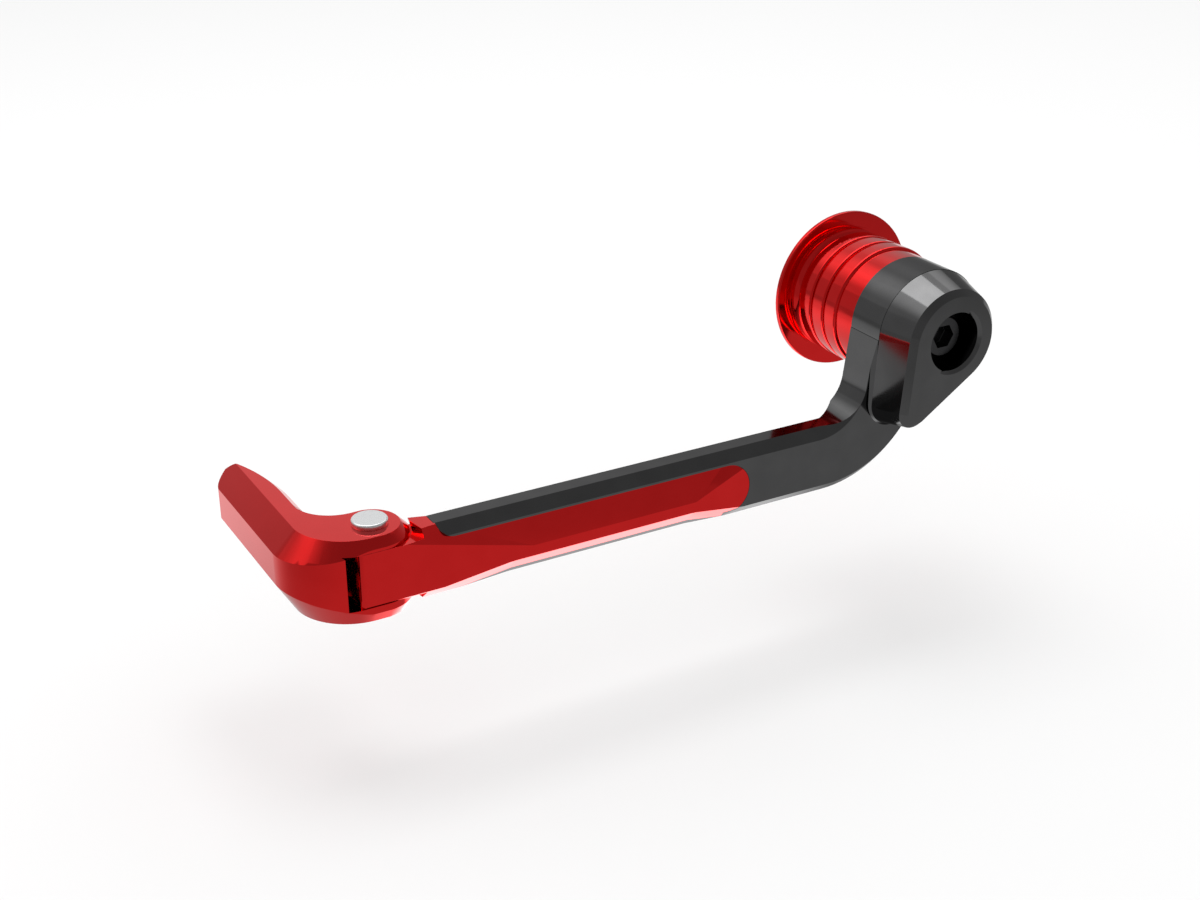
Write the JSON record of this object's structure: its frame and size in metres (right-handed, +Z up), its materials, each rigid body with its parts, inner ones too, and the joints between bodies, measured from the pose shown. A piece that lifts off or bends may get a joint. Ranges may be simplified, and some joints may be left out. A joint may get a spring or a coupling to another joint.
{
  "type": "brake lever guard",
  "caption": "Handlebar-end guard for a motorbike's brake lever: ridged collar, cranked arm with a let-in hinge bar, end cap over the bar screw and a tip that folds on an upright pin",
  "frame": {"origin": "on the handlebar axis in the collar's back face, the face that rests on the grip's end", "axes": "right handed; +Y along the handlebar axis into the bar, -Y outboard; +X against the arm, which runs to -X; +Z up"},
  "size_m": [0.1715, 0.0607, 0.0563],
  "materials": {
    "red_anodised": "satin red anodised",
    "black_anodised": "satin black anodised",
    "black_steel": "blackened steel",
    "bright_steel": "bright turned steel"
  },
  "bodies": {
    "guard": {"mount_collar": "red_anodised", "guard_arm": "black_anodised", "end_cap": "black_anodised", "head_washer": "black_steel", "bar_screw": "black_steel", "cap_screws": "black_steel", "hinge_bar": "red_anodised", "hinge_bar_screws": "black_steel", "return_spring": "bright_steel"},
    "tip": {"fold_tip": "red_anodised", "hinge_pin": "bright_steel", "pin_screw": "black_steel"}
  },
  "joints": [
    {"name": "tip_fold", "type": "hinge", "parent": "guard", "child": "tip", "pos_m": [-0.1338, -0.0243, -0.0281], "axis": [0, 0, 1], "range_deg": [0, 85], "stiffness_Nm_per_rad": 0.05, "springref_deg": -9.74}
  ]
}
